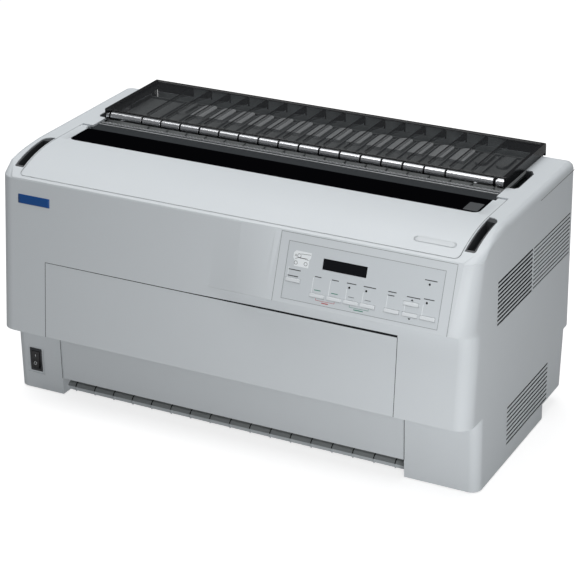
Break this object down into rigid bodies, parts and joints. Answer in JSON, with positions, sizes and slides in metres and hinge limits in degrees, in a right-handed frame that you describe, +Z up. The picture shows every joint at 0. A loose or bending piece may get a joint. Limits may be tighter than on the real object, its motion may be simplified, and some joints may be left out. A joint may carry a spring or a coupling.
{
  "type": "dot matrix printer",
  "caption": "Wide desk-top impact printer with a hinged top cover, a smoked paper cover with tension rollers, a fold-down front cover and a raised control panel.",
  "frame": {"origin": "centre of the bounding box on the floor, under the middle of the printer", "axes": "+Z up, -Y is the front with the control panel, +X is the right-hand end seen from the front; the longest side runs along X"},
  "size_m": [0.7, 0.3688, 0.3605],
  "materials": {
    "base_case": "as moulded",
    "base_pan": "plain",
    "feet": "plain",
    "lower_front_panel": "as moulded",
    "front_paper_guide": "as moulded",
    "upper_case": "as moulded",
    "control_panel": "as moulded",
    "panel_overlay": "as moulded",
    "display": "as moulded",
    "panel_board": "as moulded",
    "lamps": "as moulded",
    "hinge_pins": "plain",
    "tear_bar": "plain",
    "tear_bar_support": "as moulded",
    "exit_guide": "as moulded",
    "switch_frame": "as moulded",
    "left_side_frame": "plain",
    "right_side_frame": "plain",
    "guide_shafts": "plain",
    "drive_belt": "plain",
    "carriage_motor": "plain",
    "ribbon_cartridge": "as moulded",
    "feed_motor": "plain",
    "power_supply": "plain",
    "main_board": "as moulded",
    "cooling_fan": "as moulded",
    "power_inlet": "as moulded",
    "grip_pockets": "as moulded",
    "top_cover": "as moulded",
    "cover_window": "as moulded",
    "exit_cover": "as moulded",
    "tension_bushes": "plain",
    "tension_shaft": "plain",
    "tension_rollers": "as moulded",
    "front_cover": "as moulded",
    "power_rocker": "as moulded",
    "platen": "plain",
    "platen_shaft": "plain",
    "platen_gear": "as moulded",
    "feed_pinion": "plain",
    "idler_gear": "as moulded",
    "front_drive_shaft": "plain",
    "front_tractor_left": "as moulded",
    "front_tractor_right": "as moulded",
    "front_sprocket_left": "as moulded",
    "front_sprocket_right": "as moulded",
    "carriage": "as moulded",
    "print_head": "plain",
    "drive_pulley": "plain",
    "idler_pulley": "plain",
    "fan_rotor": "as moulded",
    "button_select": "as moulded",
    "button_font": "as moulded",
    "button_pitch": "as moulded",
    "button_tear_off": "as moulded",
    "button_form_top": "as moulded",
    "button_load": "as moulded",
    "button_feed_up": "as moulded",
    "button_feed_down": "as moulded",
    "button_pause": "as moulded"
  },
  "bodies": {
    "printer": {"base_case": "base_case", "base_pan": "base_pan", "feet": "feet", "lower_front_panel": "lower_front_panel", "front_paper_guide": "front_paper_guide", "upper_case": "upper_case", "control_panel": "control_panel", "panel_overlay": "panel_overlay", "display": "display", "panel_board": "panel_board", "lamps": "lamps", "hinge_pins": "hinge_pins", "tear_bar": "tear_bar", "tear_bar_support": "tear_bar_support", "exit_guide": "exit_guide", "switch_frame": "switch_frame", "left_side_frame": "left_side_frame", "right_side_frame": "right_side_frame", "guide_shafts": "guide_shafts", "drive_belt": "drive_belt", "carriage_motor": "carriage_motor", "ribbon_cartridge": "ribbon_cartridge", "feed_motor": "feed_motor", "power_supply": "power_supply", "main_board": "main_board", "cooling_fan": "cooling_fan", "power_inlet": "power_inlet", "grip_pockets": "grip_pockets"},
    "top_cover": {"top_cover": "top_cover", "cover_window": "cover_window"},
    "exit_cover": {"exit_cover": "exit_cover", "tension_bushes": "tension_bushes"},
    "tension_roller": {"tension_shaft": "tension_shaft", "tension_rollers": "tension_rollers"},
    "front_cover": {"front_cover": "front_cover"},
    "rocker": {"power_rocker": "power_rocker"},
    "platen": {"platen": "platen", "platen_shaft": "platen_shaft", "platen_gear": "platen_gear"},
    "pinion": {"feed_pinion": "feed_pinion"},
    "idler": {"idler_gear": "idler_gear"},
    "tractor_drive": {"front_drive_shaft": "front_drive_shaft"},
    "tractor_left": {"front_tractor_left": "front_tractor_left"},
    "tractor_right": {"front_tractor_right": "front_tractor_right"},
    "sprocket_left": {"front_sprocket_left": "front_sprocket_left"},
    "sprocket_right": {"front_sprocket_right": "front_sprocket_right"},
    "carriage": {"carriage": "carriage", "print_head": "print_head"},
    "drive_pulley": {"drive_pulley": "drive_pulley"},
    "idler_pulley": {"idler_pulley": "idler_pulley"},
    "fan": {"fan_rotor": "fan_rotor"},
    "key_select": {"button_select": "button_select"},
    "key_font": {"button_font": "button_font"},
    "key_pitch": {"button_pitch": "button_pitch"},
    "key_tear_off": {"button_tear_off": "button_tear_off"},
    "key_form_top": {"button_form_top": "button_form_top"},
    "key_load": {"button_load": "button_load"},
    "key_feed_up": {"button_feed_up": "button_feed_up"},
    "key_feed_down": {"button_feed_down": "button_feed_down"},
    "key_pause": {"button_pause": "button_pause"}
  },
  "joints": [
    {"name": "top_cover_hinge", "type": "hinge", "parent": "printer", "child": "top_cover", "pos_m": [0, 0.00461, 0.34], "axis": [-1, 0, 0], "range_deg": [0, 75]},
    {"name": "exit_cover_hinge", "type": "hinge", "parent": "printer", "child": "exit_cover", "pos_m": [0, 0.17011, 0.3395], "axis": [-1, 0, 0], "range_deg": [0, 60]},
    {"name": "tension_roller_spin", "type": "hinge", "parent": "exit_cover", "child": "tension_roller", "pos_m": [0, 0.04561, 0.35], "axis": [1, 0, 0], "continuous": true},
    {"name": "front_cover_hinge", "type": "hinge", "parent": "printer", "child": "front_cover", "pos_m": [0, -0.15339, 0.113], "axis": [1, 0, 0], "range_deg": [0, 90]},
    {"name": "power_rocker_tilt", "type": "hinge", "parent": "printer", "child": "rocker", "pos_m": [-0.3197, -0.13419, 0.046], "axis": [1, 0, 0], "range_deg": [0, 16]},
    {"name": "platen_spin", "type": "hinge", "parent": "printer", "child": "platen", "pos_m": [0, 0.05061, 0.262], "axis": [1, 0, 0], "continuous": true},
    {"name": "pinion_spin", "type": "hinge", "parent": "printer", "child": "pinion", "pos_m": [0, 0.01296, 0.23206], "axis": [1, 0, 0], "continuous": true},
    {"name": "idler_gear_spin", "type": "hinge", "parent": "printer", "child": "idler", "pos_m": [0, -0.00579, 0.18132], "axis": [1, 0, 0], "continuous": true},
    {"name": "tractor_drive_spin", "type": "hinge", "parent": "printer", "child": "tractor_drive", "pos_m": [0, -0.07139, 0.165], "axis": [1, 0, 0], "continuous": true},
    {"name": "tractor_left_slide", "type": "slide", "parent": "printer", "child": "tractor_left", "axis": [1, 0, 0], "range_m": [-0.015, 0.17]},
    {"name": "tractor_right_slide", "type": "slide", "parent": "printer", "child": "tractor_right", "axis": [1, 0, 0], "range_m": [-0.17, 0.03]},
    {"name": "sprocket_left_spin", "type": "hinge", "parent": "tractor_left", "child": "sprocket_left", "pos_m": [-0.23, -0.07139, 0.165], "axis": [1, 0, 0], "continuous": true},
    {"name": "sprocket_right_spin", "type": "hinge", "parent": "tractor_right", "child": "sprocket_right", "pos_m": [0.206, -0.07139, 0.165], "axis": [1, 0, 0], "continuous": true},
    {"name": "carriage_slide", "type": "slide", "parent": "printer", "child": "carriage", "axis": [1, 0, 0], "range_m": [-0.19, 0.19]},
    {"name": "drive_pulley_spin", "type": "hinge", "parent": "printer", "child": "drive_pulley", "pos_m": [0.228, -0.02539, 0.201], "axis": [0, 0, 1], "range_deg": [-900, 900]},
    {"name": "idler_pulley_spin", "type": "hinge", "parent": "printer", "child": "idler_pulley", "pos_m": [-0.252, -0.02539, 0.201], "axis": [0, 0, 1], "range_deg": [-900, 900]},
    {"name": "fan_spin", "type": "hinge", "parent": "printer", "child": "fan", "pos_m": [0.297, 0.17281, 0.164], "axis": [0, 1, 0], "continuous": true},
    {"name": "key_select_press", "type": "slide", "parent": "printer", "child": "key_select", "axis": [0, 0.9344, -0.3561], "range_m": [0, 0.0015], "stiffness_N_per_m": 600, "springref_m": -0.0005},
    {"name": "key_font_press", "type": "slide", "parent": "printer", "child": "key_font", "axis": [0, 0.9344, -0.3561], "range_m": [0, 0.0015], "stiffness_N_per_m": 600, "springref_m": -0.0005},
    {"name": "key_pitch_press", "type": "slide", "parent": "printer", "child": "key_pitch", "axis": [0, 0.9344, -0.3561], "range_m": [0, 0.0015], "stiffness_N_per_m": 600, "springref_m": -0.0005},
    {"name": "key_tear_off_press", "type": "slide", "parent": "printer", "child": "key_tear_off", "axis": [0, 0.9344, -0.3561], "range_m": [0, 0.0015], "stiffness_N_per_m": 600, "springref_m": -0.0005},
    {"name": "key_form_top_press", "type": "slide", "parent": "printer", "child": "key_form_top", "axis": [0, 0.9344, -0.3561], "range_m": [0, 0.0015], "stiffness_N_per_m": 600, "springref_m": -0.0005},
    {"name": "key_load_press", "type": "slide", "parent": "printer", "child": "key_load", "axis": [0, 0.9344, -0.3561], "range_m": [0, 0.0015], "stiffness_N_per_m": 600, "springref_m": -0.0005},
    {"name": "key_feed_up_press", "type": "slide", "parent": "printer", "child": "key_feed_up", "axis": [0, 0.9344, -0.3561], "range_m": [0, 0.0015], "stiffness_N_per_m": 600, "springref_m": -0.0005},
    {"name": "key_feed_down_press", "type": "slide", "parent": "printer", "child": "key_feed_down", "axis": [0, 0.9344, -0.3561], "range_m": [0, 0.0015], "stiffness_N_per_m": 600, "springref_m": -0.0005},
    {"name": "key_pause_press", "type": "slide", "parent": "printer", "child": "key_pause", "axis": [0, 0.9344, -0.3561], "range_m": [0, 0.0015], "stiffness_N_per_m": 600, "springref_m": -0.0005}
  ],
  "couplings": [
    {"joint": "pinion_spin", "follows": "platen_spin", "ratio": -3},
    {"joint": "idler_gear_spin", "follows": "platen_spin", "ratio": 0.85714},
    {"joint": "tractor_drive_spin", "follows": "platen_spin", "ratio": -1.4118},
    {"joint": "sprocket_left_spin", "follows": "platen_spin", "ratio": -1.4118},
    {"joint": "sprocket_right_spin", "follows": "platen_spin", "ratio": -1.4118},
    {"joint": "drive_pulley_spin", "follows": "carriage_slide", "rad_per_m": 76.628},
    {"joint": "idler_pulley_spin", "follows": "carriage_slide", "rad_per_m": 76.628}
  ]
}
